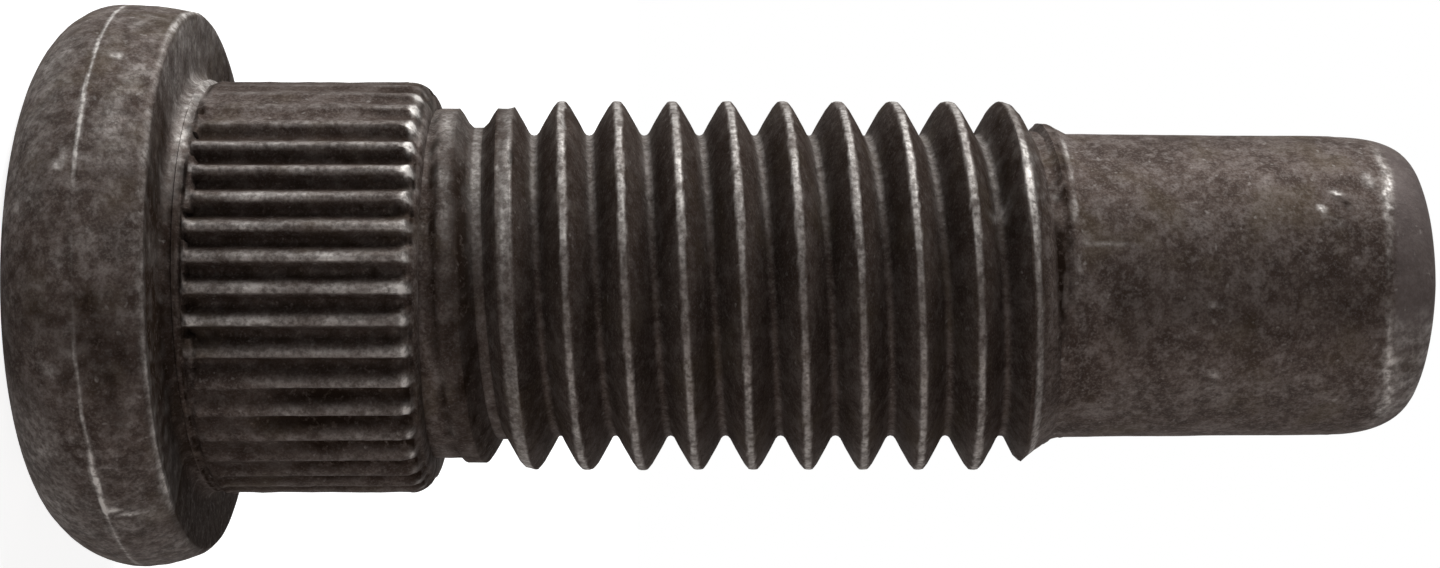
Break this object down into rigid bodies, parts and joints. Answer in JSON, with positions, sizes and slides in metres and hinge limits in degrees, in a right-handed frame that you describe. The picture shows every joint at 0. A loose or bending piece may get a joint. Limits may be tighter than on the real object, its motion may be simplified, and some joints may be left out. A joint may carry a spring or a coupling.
{
  "type": "press-in wheel stud",
  "caption": "Press-in wheel stud: a round head, a ribbed band that grips the hub flange, a rolled coarse thread and a plain rounded pilot.",
  "frame": {"origin": "centre of the head's outer face, on which the stud stands", "axes": "+Z along the axis of the stud, from the head towards the pilot; X and Y across it"},
  "size_m": [0.0178, 0.0178, 0.0426],
  "materials": {
    "phosphated_steel": "dark grey-brown phosphate coat, semi-matt, worn to bare steel on crests, ribs and edges"
  },
  "bodies": {
    "root": {"wheel_stud": "phosphated_steel"}
  },
  "joints": []
}
